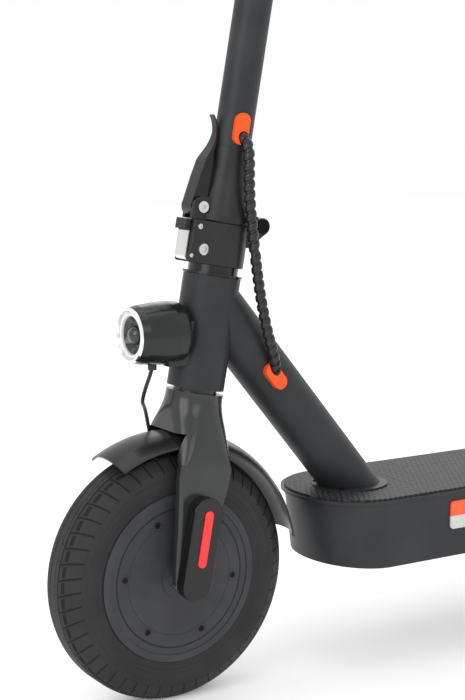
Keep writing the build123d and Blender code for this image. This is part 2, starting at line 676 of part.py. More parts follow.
def hinge_head():
    """Upper half of the folding hinge: a flared socket under the stem, with two ears for the latch."""
    low = HINGE_HEAD_LOW
    sleeve_r = STEM_R + 0.9
    flare = Spline((HINGE_R, low + 7), (sleeve_r + 3.2, low + 34), (sleeve_r, HEAD_FLARE_TOP),
                   tangents=[(-0.25, 1), (-0.02, 1)])
    points = Polyline((sleeve_r, HEAD_FLARE_TOP), (0, HEAD_FLARE_TOP), (0, low), (HINGE_R, low),
                      (HINGE_R, low + 7))
    head = revolve(Plane.XZ * make_face([flare, points]), Axis.Z)
    head = fillet(head.edges().group_by(Axis.Z)[0], 1.2)
    ear_half = LEVER_WIDTH / 2 + CLEAR + EAR_THICK
    ears = rod_y(EAR_R, -ear_half, ear_half, x=-LEVER_PIN_FRONT, z=LEVER_PIN_UP)
    ears += block((-LEVER_PIN_FRONT - EAR_R, 0), (-ear_half, ear_half), (low, LEVER_PIN_UP))
    ears += block((-LEVER_PIN_FRONT, 0), (-ear_half, ear_half), (low, LEVER_PIN_UP + EAR_R))
    ears -= block((-99, -LEVER_PIN_FRONT - 5), (0, 99), (low - 1, low + 99))
    head += ears
    slot = LEVER_WIDTH / 2 + CLEAR
    head -= block((-60, -STEM_R - 1.2), (-slot, slot), (low - 1, HEAD_FLARE_TOP + 40))
    for index in range(4):
        ridge_z = low + 8 + index * 5.5
        groove = turned([(60, ridge_z), (60, ridge_z + 2.2), (flare_radius(ridge_z) - 0.9, ridge_z + 1.1)])
        cutter = groove & (block((-26, 2), (-60, -13.6), (low, 400)) + block((-26, 2), (13.6, 60), (low, 400)))
        head -= cutter
    half = KNUCKLE_WIDTH / 2
    lug = [(10, low), (HINGE_PIN_BACK - 7, low), (HINGE_PIN_BACK + 0.5 * KNUCKLE_R, HINGE_PIN_UP + 0.8 * KNUCKLE_R),
           (HINGE_R - 3, low + 16), (10, low + 20)]
    head += side_plate(lug, half)
    head += rod_y(KNUCKLE_R, -half, half, x=HINGE_PIN_BACK, z=HINGE_PIN_UP)
    head -= rod_y(HINGE_PIN_R + RUNNING, -40, 40, x=HINGE_PIN_BACK, z=HINGE_PIN_UP)
    head -= rod_z(STEM_R, low + 9, HEAD_FLARE_TOP + 1)
    head -= rod_y(LEVER_PIN_R, -40, 40, x=-LEVER_PIN_FRONT, z=LEVER_PIN_UP)
    return STEER * head


def flare_radius(z):
    """Rough radius of the hinge head's flare, for its grip ridges."""
    share = min(1, max(0, (z - HINGE_HEAD_LOW - 7) / 27))
    return HINGE_R - share * (HINGE_R - STEM_R - 4.1)


def lever_pin():
    """Cross screw that carries the latch lever."""
    half = LEVER_WIDTH / 2 + CLEAR + EAR_THICK
    pin = rod_y(LEVER_PIN_R, -half, half, x=-LEVER_PIN_FRONT, z=LEVER_PIN_UP)
    head = rod_y(5.6, -half - 2.6, -half, x=-LEVER_PIN_FRONT, z=LEVER_PIN_UP)
    head -= rod_y(2.6, -half - 3, -half - 0.8, x=-LEVER_PIN_FRONT, z=LEVER_PIN_UP)
    return STEER * (pin + head + mirror(head, Plane.XZ))


def latch_lever():
    """Channel-shaped lever on the front of the hinge head, which narrows to a curled finger tip."""
    half = LEVER_WIDTH / 2
    front = LEVER_PIN_FRONT + 2.5
    back = front - LEVER_DEPTH
    outer = Spline((-front, 404), (-front + 5.5, 418), (-STEM_R - 4.0, 433), (-STEM_R - 4.4, 442),
                   (-STEM_R - 9.6, 453), tangents=[(0.1, 1), (-0.85, 1)])
    inner = Spline((-STEM_R - 8.8, 454), (-STEM_R - 2.4, 444), (-STEM_R - 1.7, 433), (-back, 416),
                   (-back - 0.5, 404), tangents=[(0.7, -1), (0, -1)])
    blade = make_face([outer, Line(outer @ 1, inner @ 0), inner, Line(inner @ 1, outer @ 0)])
    lever = extrude(Plane.XZ * blade, half, both=True)
    reach = LEVER_PIN_FRONT + LEVER_FOOT_R
    lever += side_plate([(-reach, LEVER_PIN_UP), (-front - 2.5, 394), (-front, 404.2), (-back, 404.2),
                         (-back, LEVER_PIN_UP)], half)
    lever += rod_y(LEVER_FOOT_R, -half, half, x=-LEVER_PIN_FRONT, z=LEVER_PIN_UP)
    inner_half = half - LEVER_PLATE
    lever -= block((-front + LEVER_PLATE, -back + 30), (-inner_half, inner_half), (LEVER_PIN_UP + 12, 402))
    lever -= rod_y(LEVER_PIN_R + RUNNING, -40, 40, x=-LEVER_PIN_FRONT, z=LEVER_PIN_UP)
    lever -= block((-STEM_R - 1.4, 30), (-40, 40), (300, 500))
    taper = Plane.YZ * make_face(Polyline((half, 300), (half, 408), (LEVER_TIP_HALF, 438), (LEVER_TIP_HALF, 470),
                                          (-LEVER_TIP_HALF, 470), (-LEVER_TIP_HALF, 438), (-half, 408), (-half, 300),
                                          close=True))
    return STEER * (lever & extrude(taper, 90, both=True))


def latch_hook():
    """Steel hook plate on a barrel hinge, and its moulded thumb block."""
    half = HOOK_WIDTH / 2
    front = HOOK_PIN_FRONT + HOOK_BARREL_R
    top = HOOK_PIN_UP + HOOK_HEIGHT
    plate = rod_y(HOOK_BARREL_R, -half, half, x=-HOOK_PIN_FRONT, z=HOOK_PIN_UP)
    plate += block((-front, -front + HOOK_PLATE), (-half, half), (HOOK_PIN_UP, top))
    plate -= rod_y(HOOK_PIN_R + RUNNING, -40, 40, x=-HOOK_PIN_FRONT, z=HOOK_PIN_UP)
    thumb_back = -front + HOOK_PLATE
    thumb = block((thumb_back - THUMB_DEPTH, thumb_back), (-half, half), (top, top + THUMB_HEIGHT))
    return [STEER * plate, STEER * thumb]


# ---------------------------------------------------------------- stem and handlebar
STEM_TOP = BAR_HEIGHT - CLAMP_BARREL_R + 2


def stem_tube():
    low = HINGE_HEAD_LOW + 9
    tube = rod_z(STEM_R, low, STEM_TOP) - rod_z(STEM_R - STEM_WALL, low - 1, STEM_TOP + 1)
    tube = STEER * tube
    width, length, proud = GROMMET
    tube -= grommet_stem_place() * Pos(0, -5, 0) * capsule(length - 2, width - 2, 24)
    tube -= grommet_seat(grommet_stem_place())
    return tube - harness_room(HARNESS_UPPER)


def bar_clamp():
    """Casting that joins the stem to the handlebar."""
    half = CLAMP_BARREL_WIDTH / 2
    clamp = rod_z(CLAMP_SLEEVE_R, BAR_HEIGHT - 52, BAR_HEIGHT)
    clamp += rod_y(CLAMP_BARREL_R, -half, half, z=BAR_HEIGHT)
    clamp -= rod_z(STEM_R, BAR_HEIGHT - 60, STEM_TOP)
    clamp -= rod_y(BAR_R, -half - 1, half + 1, z=BAR_HEIGHT)
    return STEER * clamp


def handlebar():
    half = BAR_WIDTH / 2 - 3
    centre = BAR_CENTRE_LENGTH / 2
    bar = rod_y(BAR_R, -half, half)
    bar -= rod_y(BAR_R - BAR_CENTRE_WALL, -centre - 1, centre + 1)
    for low, high in ((-half - 1, -centre), (centre, half + 1)):
        bar -= rod_y(BAR_R - BAR_WALL, low, high)
    return BAR * bar


def grips():
    out = BAR_WIDTH / 2
    low = out - GRIP_LENGTH
    grip = rod_y(GRIP_R, low, out) + rod_y(GRIP_R + 3, low, low + 4)
    grip = fillet(grip.edges().group_by(Axis.Y)[-1], 2.5)
    grip -= rod_y(BAR_R, low - 1, out - 3)
    grip -= rod_y(BAR_R - BAR_WALL, out - 4, out + 1)
    return BAR * both_sides(grip)


DASH = BAR * Pos(6, 0, 14) * Rot(0, DISPLAY_TILT, 0)


def display_housing():
    length, width, height = DISPLAY
    case = Pos(0, 0, height / 2) * Box(length, width, height)
    case = fillet(case.edges().filter_by(Axis.Z), 10)
    case = fillet(case.edges().group_by(Axis.Z)[-1], 3)
    case -= Pos(-6, 0, height - LENS[2] + LENS[2] / 2) * Box(LENS[0], LENS[1], LENS[2])
    case -= Pos(16, 0, height - BUTTON_HEIGHT) * Cylinder(BUTTON_R + CLEAR, 2 * BUTTON_HEIGHT)
    case -= Pos(0, 0, height / 2 - 6) * Box(length - 8, width - 8, height - 8)
    case = DASH * case
    case -= BAR * rod_y(CLAMP_BARREL_R, -80, 80)
    case -= STEER * rod_z(CLAMP_SLEEVE_R, BAR_HEIGHT - 60, BAR_HEIGHT)
    return max(case.solids(), key=lambda solid: solid.volume)


def display_lens():
    height = DISPLAY[2]
    return DASH * Pos(-6, 0, height - LENS[2] / 2) * Box(LENS[0] - 0.2, LENS[1] - 0.2, LENS[2])


def power_button():
    """Round push button at the rider's end of the display."""
    button = Pos(16, 0, DISPLAY[2] - BUTTON_HEIGHT / 2 + BUTTON_TRAVEL) * Cylinder(BUTTON_R, BUTTON_HEIGHT - 0.4)
    return DASH * fillet(button.edges().group_by(Axis.Z)[-1], 0.8)


def control_clamp(y):
    half = CONTROL_CLAMP_WIDTH / 2
    return rod_y(CONTROL_CLAMP_R, y - half, y + half) - rod_y(BAR_R, y - half - 1, y + half + 1)


def control_mounts():
    """Brake lever bracket on the left and throttle housing on the right."""
    y = CONTROL_CLAMP_CENTRE
    throttle = control_clamp(y)
    bracket = control_clamp(-y)
    front, out = BRAKE_PIVOT
    arm = block((front, -BAR_R - 2), (-out - 6, -out + 8), (-8, 8))
    arm += rod_z(7, -8, 8, x=front, y=-out)
    arm -= block((front - 12, front + 9), (-out - 20, -out + 20), (-4.4, 4.4))
    bracket += arm
    bracket += rod_z(BRAKE_PIN_R, -4.6, 4.6, x=front, y=-out)
    bracket += rod_y(4, -out + 7, -out + 26, x=front + 8)
    return [BAR * throttle, BAR * bracket]


def brake_lever():
    """Hand lever that pivots in the bracket and curves out in front of the left grip."""
    front, out = BRAKE_PIVOT
    tip = -(BAR_WIDTH / 2 - 24)
    path = Spline((front, -out), (front - 15, -out - 22), (front - 22, -out - 60), (front - 21, tip + 20),
                  (front - 18, tip))
    blade = sweep(Plane(origin=path @ 0, z_dir=path % 0, x_dir=(0, 0, 1)) * RectangleRounded(8, 7, 2.5), path)
    blade += rod_z(6, -4, 4, x=front, y=-out)
    blade += Pos(*(path @ 1)) * Sphere(5.5)
    blade -= rod_z(BRAKE_PIN_R + RUNNING, -20, 20, x=front, y=-out)
    return BAR * blade


def throttle_paddle():
    """Thumb paddle that turns about the handlebar, beside its housing."""
    low = CONTROL_CLAMP_CENTRE + CONTROL_CLAMP_WIDTH / 2 + CLEAR
    high = low + PADDLE_WIDTH
    paddle = rod_y(CONTROL_CLAMP_R, low, high)
    tab = block((6, PADDLE_REACH), (low, high), (-3, 3))
    tab += block((PADDLE_REACH - 16, PADDLE_REACH), (low - 4, high + 6), (-3, 3))
    paddle += Rot(0, 30, 0) * fillet(tab.edges().filter_by(Axis.Z), 1.5)
    return BAR * (paddle - rod_y(BAR_R + CLEAR, low - 1, high + 1))


# ---------------------------------------------------------------- deck
def deck_outline(front_inset, side_inset, rear):
    """Deck outline in plan: half an ellipse in front and straight sides, as one face."""
    half = DECK_WIDTH / 2 - side_inset
    reach = NOSE_LENGTH - front_inset
    nose = EllipticalCenterArc((0, 0), reach, half, start_angle=90, arc_size=180)
    sides = Polyline(nose @ 1, (rear - NOSE_CENTRE, -half), (rear - NOSE_CENTRE, half), nose @ 0)
    return Pos(NOSE_CENTRE, 0) * make_face([nose, sides])


def tub(inset):
    """Deck tub drawn in by a wall thickness on every side but its open top."""
    low = DECK_BOTTOM + inset
    high = TUB_TOP + (1 if inset else 0)
    ends = [Plane.XY.offset(low) * deck_outline(LID_OVERHANG + NOSE_UNDERCUT + inset, LID_OVERHANG + inset,
                                                DECK_REAR),
            Plane.XY.offset(high) * deck_outline(LID_OVERHANG + 3 + inset, LID_OVERHANG + inset, DECK_REAR)]
    return loft(ends, ruled=True)


def deck_tub_pieces():
    """Cast nose and extruded body of the deck tub, parted at the seam."""
    shell = tub(0) - tub(DECK_WALL)
    front = shell & block((DECK_FRONT - 50, SEAM_X), (-99, 99), (0, 400))
    rear = shell & block((SEAM_X, DECK_REAR + 50), (-99, 99), (0, 400))
    socket = rod_y(SOCKET_R, 0, 99, x=SOCKET_X, z=SOCKET_Z)
    for x, y in deck_screw_places():
        front -= rod_z(DECK_SCREW_R, DECK_BOTTOM - 1, DECK_BOTTOM + 1.6, x=x, y=y)
        rear -= rod_z(DECK_SCREW_R, DECK_BOTTOM - 1, DECK_BOTTOM + 1.6, x=x, y=y)
    return front, rear - socket


def deck_screw_places():
    first = SEAM_X + 34
    step = (DECK_REAR - 60 - first) / (DECK_SCREW_ROWS - 1)
    side = DECK_WIDTH / 2 - 14
    return [(first + index * step, y) for index in range(DECK_SCREW_ROWS) for y in (-side, side)]


def deck_screws():
    screws = []
    for x, y in deck_screw_places():
        head = rod_z(DECK_SCREW_R - SEAT, DECK_BOTTOM + 0.3, DECK_BOTTOM + 1.6, x=x, y=y)
        screws.append(head - rod_z(1.5, DECK_BOTTOM, DECK_BOTTOM + 1.0, x=x, y=y))
    length, width, height = BASE_FLANGE
    for side in (-0.66, 0.66):
        place = Pos(FLANGE_X - 0.66 * length / 2, side * width / 2)
        screws.append(place * rod_z(2.8, MAT_TOP + height, MAT_TOP + height + 1.6))
    return screws


def tube_opening():
    """Room for the down tube through the lid and the mat."""
    return down_tube_rod(DOWN_TUBE_R + SEAT, 0, TUBE_END + 90)


def deck_lid():
    lid = Plane.XY.offset(TUB_TOP) * deck_outline(0, 0, DECK_REAR)
    return extrude(lid, LID_THICK) - tube_opening()


def deck_mat():
    rear = DECK_REAR - MAT_REAR_GAP
    mat = Plane.XY.offset(LID_TOP) * deck_outline(MAT_INSET, MAT_INSET, rear)
    return extrude(mat, MAT_THICK) - tube_opening()


def deck_electronics():
    """Battery pack and motor controller, side by side in the tub."""
    floor = DECK_BOTTOM + DECK_WALL
    tube_back = DOWN_TUBE_START[0] + (DOWN_TUBE_START[1] - floor) / tan(radians(DOWN_TUBE_SLOPE)) + 45
    length, width, height = CONTROLLER
    controller = block((tube_back, tube_back + length), (-width / 2, width / 2), (floor, floor + height))
    length, width, height = BATTERY
    rear = DECK_REAR - REAR_BLOCK[0] - 8
    battery = block((rear - length, rear), (-width / 2, width / 2), (floor, floor + height))
    return [fillet(controller.edges().filter_by(Axis.Z), 3), fillet(battery.edges().filter_by(Axis.X), 8)]


def charge_socket():
    out = DECK_WIDTH / 2
    body = rod_y(SOCKET_R, out - 17, out, x=SOCKET_X, z=SOCKET_Z)
    body += rod_y(SOCKET_R + 2, out - LID_OVERHANG, out + 1.2, x=SOCKET_X, z=SOCKET_Z)
    lugs = block((SOCKET_X - 6, SOCKET_X + 6), (out - LID_OVERHANG, out + 4.6), (SOCKET_Z - 18, SOCKET_Z - 10))
    lugs -= block((SOCKET_X - 3.4, SOCKET_X + 3.4), (out + 0.8, out + 9), (SOCKET_Z - 19, SOCKET_Z - 9))
    body += lugs
    body += rod_x(1.2, SOCKET_X - 6, SOCKET_X + 6, y=out + 3, z=SOCKET_Z - 15.5)
    mouth = out + 1.2
    return body - rod_y(SOCKET_BORE_R, mouth - SOCKET_BORE_DEPTH, mouth + 1, x=SOCKET_X, z=SOCKET_Z)


def charge_cap():
    """Rubber flap over the charging socket, hinged below it."""
    out = DECK_WIDTH / 2
    cap = rod_y(SOCKET_R + 1, out + 1.2 + CLEAR, out + 4.6, x=SOCKET_X, z=SOCKET_Z)
    cap += block((SOCKET_X - 3, SOCKET_X + 3), (out + 1.2 + CLEAR, out + 4.6), (SOCKET_Z - 15.5, SOCKET_Z))
    cap += rod_x(1.6 + RUNNING, SOCKET_X - 3, SOCKET_X + 3, y=out + 3, z=SOCKET_Z - 15.5)
    return cap - rod_x(1.2 + RUNNING, SOCKET_X - 9, SOCKET_X + 9, y=out + 3, z=SOCKET_Z - 15.5)


def frame_reflectors():
    """Reflectors on the deck's sides and on the rear axle covers."""
    side = DECK_WIDTH / 2 - LID_OVERHANG
    plate = block((-161, -101), (side, side + 2), (DECK_BOTTOM + 30, DECK_BOTTOM + 60))
    plate = fillet(plate.edges().filter_by(Axis.Y), 4)
    width, length, thick = REFLECTOR
    strip = Rot(0, -90, 0) * capsule(0.62 * length, width, thick)
    strip = REAR_AXLE * Pos(-REAR_COVER_LENGTH / 2 + AXLE_COVER_R, REAR_COVER_OUT + thick / 2, 0) * strip
    return [*both_sides(plate).solids(), *both_sides(strip).solids()]


# ---------------------------------------------------------------- rear end
def rear_fork():
    """Casting that plugs the deck's rear end and carries the rear axle on two arms."""
    plug_length, plug_height = REAR_BLOCK
    floor = DECK_BOTTOM + DECK_WALL
    half = DECK_WIDTH / 2 - LID_OVERHANG - DECK_WALL - SEAT
    plug = block((DECK_REAR - plug_length, DECK_REAR), (-half, half), (floor, floor + plug_height))
    plug += block((DECK_REAR, DECK_REAR + 14), (-REAR_ARM_OUT, REAR_ARM_OUT), (DECK_BOTTOM + 2, LID_TOP - 2))
    low, high = WHEEL_R - REAR_ARM_HEIGHT / 2, WHEEL_R + REAR_ARM_HEIGHT / 2
    end = REAR_AXLE_X
    side = [(DECK_REAR, DECK_BOTTOM + 2), (end, low), (end, high), (DECK_REAR + 40, high + 16),
            (DECK_REAR, LID_TOP - 2)]
    arm = Plane.XZ.offset(-REAR_ARM_GAP / 2) * make_face(Polyline(*side, close=True))
    arm = extrude(arm, -REAR_ARM_THICK)
    arm += rod_y(REAR_ARM_HEIGHT / 2, REAR_ARM_GAP / 2, REAR_ARM_OUT, x=end, z=WHEEL_R)
    body = plug + arm + mirror(arm, Plane.XZ)
    body -= rod_y(AXLE_R + SEAT, -99, 99, x=end, z=WHEEL_R)
    seat = block(CALIPER_FOOT_X, (-REAR_ARM_OUT, -REAR_ARM_GAP / 2), (WHEEL_R, CALIPER_FOOT_Z))
    return body + seat


def rear_axle_covers():
    turn = REAR_AXLE * Rot(0, -90, 0)
    return axle_covers(turn, REAR_ARM_OUT, REAR_COVER_LENGTH, REAR_COVER_DEPTH, AXLE_COVER_R)


def rear_fender():
    """Rear mudguard with a tongue screwed on the deck and a tail lamp seat."""
    guard = REAR_AXLE * fender(REAR_FENDER_SPAN)
    tongue = block((DECK_REAR - 14, DECK_REAR + 60), (-22, 22), (LID_TOP, LID_TOP + 4))
    return guard + (tongue - REAR_AXLE * rod_y(FENDER_R - FENDER_WALL, -60, 60))


def tail_light():
    """Red lamp on the rear slope of the mudguard."""
    low, high = REAR_FENDER_SPAN[0], REAR_FENDER_SPAN[0] + 18
    top = FENDER_R + TAIL_LIGHT_PROUD
    section = make_face(Polyline((FENDER_R - 2.5, -17), (top, -13), (top, 13), (FENDER_R - 2.5, 17), close=True))
    lamp = Rot(0, -high, 0) * revolve(section, Axis.Y, high - low)
    lamp = REAR_AXLE * lamp - REAR_AXLE * fender((low - 5, high + 5))
    return max(lamp.solids(), key=lambda solid: solid.center().X)


CALIPER_X = REAR_AXLE_X - CALIPER_X_BACK
CALIPER_Z = WHEEL_R + CALIPER_UP
CALIPER_IN = DISC_Y + DISC_THICK / 2 + PAD_GAP  # inner pad's face
CALIPER_OUT = DISC_Y - DISC_THICK / 2 - PAD_GAP  # outer pad's face
CALIPER_FAR = -REAR_ARM_GAP / 2 + 0.5  # caliper's outer side
CALIPER_FOOT_X = (CALIPER_X - 22, CALIPER_X - 9)
CALIPER_FOOT_Z = CALIPER_Z - 6


def brake_caliper():
    """Caliper body astride the disc, with its fixed pad."""
    far = CALIPER_FAR
    near = CALIPER_IN + 3.0
    body = block((CALIPER_X - 14, CALIPER_X + 14), (far, near), (CALIPER_Z - 14, CALIPER_Z + 16))
    body = fillet(body.edges().filter_by(Axis.Y), 4)
    body += block(CALIPER_FOOT_X, (-REAR_ARM_OUT, far + 8), (CALIPER_FOOT_Z, CALIPER_FOOT_Z + 5))
    body -= REAR_AXLE * rod_y(DISC_R + 2, CALIPER_OUT - 1.5, CALIPER_IN + 1.5)
    body -= rod_y(PAD_R, far - 1, CALIPER_OUT + 4, x=CALIPER_X, z=CALIPER_Z)
    pad = rod_y(PAD_R - 1, CALIPER_IN, CALIPER_IN + 1.5, x=CALIPER_X, z=CALIPER_Z)
    return [body, pad]


def moving_brake_pad():
    """Pad on its piston, which slides in the caliper's bore."""
    return rod_y(PAD_R - RUNNING, CALIPER_FAR + 3, CALIPER_OUT, x=CALIPER_X, z=CALIPER_Z)


def caliper_arm():
    """Cable arm on the outside of the caliper."""
    far = CALIPER_FAR - CLEAR
    arm = rod_y(7, far - 4, far, x=CALIPER_X, z=CALIPER_Z)
    arm += block((CALIPER_X - 3, CALIPER_X + 3), (far - 4, far), (CALIPER_Z, CALIPER_Z + 26))
    arm += rod_y(4, far - 6, far, x=CALIPER_X, z=CALIPER_Z + 26)
    return arm


# ---------------------------------------------------------------- kickstand
STAND = Pos(STAND_X, STAND_Y, STAND_PIVOT_Z) * Rot(-STAND_LEAN, 0, 0)
STAND_LENGTH = STAND_PIVOT_Z / cos(radians(STAND_LEAN)) - STAND_FOOT_R * tan(radians(STAND_LEAN))


def kickstand_bracket():
    """Two cheeks under the deck that hold the stand's pivot pin."""
    cheeks = block((-11, 11), (-13, 13), (-8, 40)) - block((-12, 12), (-8 - CLEAR, 8 + CLEAR), (-9, 8.5))
    cheeks = STAND * cheeks - block((-400, 400), (-200, 200), (DECK_BOTTOM, 400))
    pad = block((STAND_X - 22, STAND_X + 22), (STAND_Y - 12, STAND_Y + 26), (DECK_BOTTOM - 3, DECK_BOTTOM))
    pin = STAND * rod_y(3, -13, 13)
    room = STAND * (rod_y(8.5, -8 - CLEAR, 8 + CLEAR) + block((-8.5, 60), (-8.4, 8.4), (-8.5, 8.5)))
    return cheeks + (pad - room) + pin


def kickstand():
    """Leg that stands on the ground and turns back under the deck's edge."""
    leg = rod_z(STAND_R, -STAND_LENGTH, 0)
    leg += rod_y(8, -8, 8)
    leg -= rod_y(3 + RUNNING, -20, 20)
    foot = rod_z(STAND_FOOT_R, -STAND_LENGTH - 9, -STAND_LENGTH + 9)
    stand = STAND * (leg + foot)
    return stand - block((-400, 400), (-400, 0), (-60, 0))


# ---------------------------------------------------------------- headlamp
def lamp(points):
    """Solid of revolution about the lamp's axis, from (radius, distance behind the front) points."""
    outline = make_face(Polyline(*[(r, z) for r, z in points], close=True))
    return Pos(LAMP_FRONT_X, 0, LAMP_Z) * Rot(0, 90, 0) * revolve(Plane.XZ * outline, Axis.Z)


def headlamp_shell():
    """Bullet-shaped housing seated on the head tube, with a cable gland below."""
    front, back, length, wall = LAMP_FRONT_R, LAMP_BACK_R, LAMP_LENGTH, LAMP_WALL
    profile = [(0, 8), (front - 1 - wall, 8), (front - 1 - wall, 0.6), (front - 1, 0.6), (front + 0.8, 8),
               (back - 0.8, 26), (back, length - 14), (back - 0.8, length - 4), (back - 3, length), (0, length)]
    shell = lamp(profile)
    low_x = LAMP_FRONT_X + 34
    shell += block((low_x, low_x + 44), (-17, 17), (LAMP_Z - 31, LAMP_Z + 12))
    shell -= lamp([(0, 10), (front - 6, 10), (back - 6, 40), (0, 40)])
    shell -= STEER * rod_z(HEAD_TUBE_R, HEAD_TUBE_LOW - 20, HEAD_TUBE_TOP + 20)
    gland = MOTOR_CABLE[0]
    shell += rod_z(4.4, gland[2] - 2, LAMP_Z - 24, x=gland[0], y=gland[1])
    shell -= rod_z(MOTOR_CABLE_DIAMETER / 2 + 0.9, gland[2] - 3, gland[2] + 0.6, x=gland[0], y=gland[1])
    return max(shell.solids(), key=lambda solid: solid.volume)


def headlamp_bezel():
    """Bright ring round the lens, stepped inwards."""
    front = LAMP_FRONT_R
    return lamp([(front - 1, 0.6), (front - 1 - LAMP_WALL, 0.6), (front - 3.2, 5), (front - 8, 5), (front - 5, 2),
                 (front - 4, -1.4), (front - 2, -1.4)])


def headlamp_lens():
    """Clear projector lens on its dark cone."""
    front = LAMP_FRONT_R
    return lamp([(0, 8), (front - 3.4, 8), (front - 3.4, 5.2), (front - 8.2, 5.2), (12, 4), (9, -2), (5, -5),
                 (0, -6)])


def motor_cable():
    return cord("motor_cable", MOTOR_CABLE, MOTOR_CABLE_DIAMETER)


def harness_upper():
    return cord("harness_upper", HARNESS_UPPER, HARNESS_DIAMETER)


def harness_lower():
    return cord("harness_lower", HARNESS_LOWER, HARNESS_DIAMETER)


# ---------------------------------------------------------------- write every piece
def every_piece():
    nose, body = deck_tub_pieces()
    tyre_shape = tyre()
    return {
        "main_frame": main_frame(),
        "headset_bearings": headset_bearings(),
        "headlamp_shell": headlamp_shell(),
        "headlamp_bezel": headlamp_bezel(),
        "headlamp_lens": headlamp_lens(),
        "frame_grommet": grommet(grommet_frame_place(), DOWN_TUBE_WALL, HARNESS_LOWER),
        "deck_nose": nose,
        "deck_body": body,
        "deck_lid": deck_lid(),
        "deck_mat": deck_mat(),
        "deck_electronics": deck_electronics(),
        "deck_screws": deck_screws(),
        "charge_socket": charge_socket(),
        "frame_reflectors": frame_reflectors(),
        "rear_fork": rear_fork(),
        "rear_axle": [REAR_AXLE * piece for piece in rear_axle()],
        "rear_axle_covers": rear_axle_covers(),
        "rear_fender": rear_fender(),
        "tail_light": tail_light(),
        "kickstand_bracket": kickstand_bracket(),
        "brake_caliper": brake_caliper(),
        "harness_lower": harness_lower(),
        "fork": fork(),
        "headset_collar": headset_collar(),
        "front_fender": front_fender(),
        "front_axle_covers": front_axle_covers(),
        "front_reflectors": front_reflectors(),
        "front_axle_stator": [FRONT_AXLE * piece for piece in stator_and_axle()],
        "hinge_base": hinge_base(),
        "hinge_fasteners": hinge_fasteners(),
        "motor_cable": motor_cable(),
        "motor_hub_shell": [FRONT_AXLE * motor_hub_shell(), FRONT_AXLE * magnet_ring()],
        "motor_covers": FRONT_AXLE * motor_covers(),
        "motor_cover_screws": FRONT_AXLE * motor_cover_screws(),
        "front_tyre": FRONT_AXLE * tyre_shape,
        "front_wheel_bearings": FRONT_AXLE * wheel_bearings(COVER_IN - 6 + BEARING_WIDTH / 2),
        "rear_rim": REAR_AXLE * rear_rim(),
        "rear_tyre": REAR_AXLE * tyre_shape,
        "brake_disc": REAR_AXLE * brake_disc(),
        "rear_wheel_bearings": REAR_AXLE * rear_bearings(),
        "stem_tube": stem_tube(),
        "hinge_head": hinge_head(),
        "lever_pin": lever_pin(),
        "stem_grommet": grommet(grommet_stem_place(), STEM_WALL, HARNESS_UPPER),
        "bar_clamp": bar_clamp(),
        "handlebar": handlebar(),
        "grips": grips(),
        "display_housing": display_housing(),
        "display_lens": display_lens(),
        "control_mounts": control_mounts(),
        "harness_upper": harness_upper(),
        "latch_lever": latch_lever(),
        "latch_hook": latch_hook(),
        "brake_lever": brake_lever(),
        "throttle_paddle": throttle_paddle(),
        "power_button": power_button(),
        "kickstand": kickstand(),
        "charge_cap": charge_cap(),
        "caliper_arm": caliper_arm(),
        "moving_brake_pad": moving_brake_pad(),
    }


def main():
    os.makedirs("parts", exist_ok=True)
    for name, shape in every_piece().items():
        pieces = shape if isinstance(shape, list) else [shape]
        solids = [solid for piece in pieces for solid in piece.solids()]
        whole = solids[0] if len(solids) == 1 else Compound(solids)
        export_step(whole, f"parts/{name}.step")


if __name__ == "__main__":
    main()
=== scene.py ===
from math import pi, radians, tau

import bpy
from mathutils import Matrix, Vector


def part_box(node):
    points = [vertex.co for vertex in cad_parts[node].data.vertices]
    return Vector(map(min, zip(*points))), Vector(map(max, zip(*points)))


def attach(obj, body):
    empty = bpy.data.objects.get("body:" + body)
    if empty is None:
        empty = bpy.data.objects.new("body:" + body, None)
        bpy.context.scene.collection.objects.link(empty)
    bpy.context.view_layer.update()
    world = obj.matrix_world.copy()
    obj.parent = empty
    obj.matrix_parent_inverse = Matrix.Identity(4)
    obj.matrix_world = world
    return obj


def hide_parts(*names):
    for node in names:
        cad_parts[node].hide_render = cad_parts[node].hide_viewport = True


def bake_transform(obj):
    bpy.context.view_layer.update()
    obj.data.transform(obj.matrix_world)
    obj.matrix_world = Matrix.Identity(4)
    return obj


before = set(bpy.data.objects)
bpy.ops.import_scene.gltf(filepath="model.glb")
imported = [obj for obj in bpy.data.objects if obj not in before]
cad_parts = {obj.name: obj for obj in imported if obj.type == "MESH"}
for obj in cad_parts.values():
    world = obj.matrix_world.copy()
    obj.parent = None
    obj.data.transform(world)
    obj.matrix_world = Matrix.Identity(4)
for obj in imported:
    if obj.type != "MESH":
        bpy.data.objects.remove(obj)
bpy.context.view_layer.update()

# ------------------------------------------------------------------ camera and studio
# A long lens low on the rider's left, in front of the scooter. The studio is a pale floor under
# a bright even sky, with weak soft boxes round it for shape. A plain view keeps white paper white.
view = bpy.data.cameras.new("camera")
view.lens = 81.58
camera = bpy.data.objects.new("camera", view)
bpy.context.scene.collection.objects.link(camera)
right, up, back = (0.8435, -0.5370, 0.0064), (0.0756, 0.1305, 0.9886), (-0.5317, -0.8334, 0.1507)
turned = Matrix((right, up, back)).transposed().to_4x4()
camera.matrix_world = Matrix.Translation((-1.234, -1.327, 0.585)) @ turned
bpy.context.scene.camera = camera

sky = bpy.data.worlds.new("studio")
sky.use_nodes = True
sky.node_tree.nodes["Background"].inputs["Color"].default_value = (0.99, 0.99, 0.99, 1.0)
sky.node_tree.nodes["Background"].inputs["Strength"].default_value = 1.0
bpy.context.scene.world = sky
bpy.context.scene.view_settings.view_transform = "Standard"

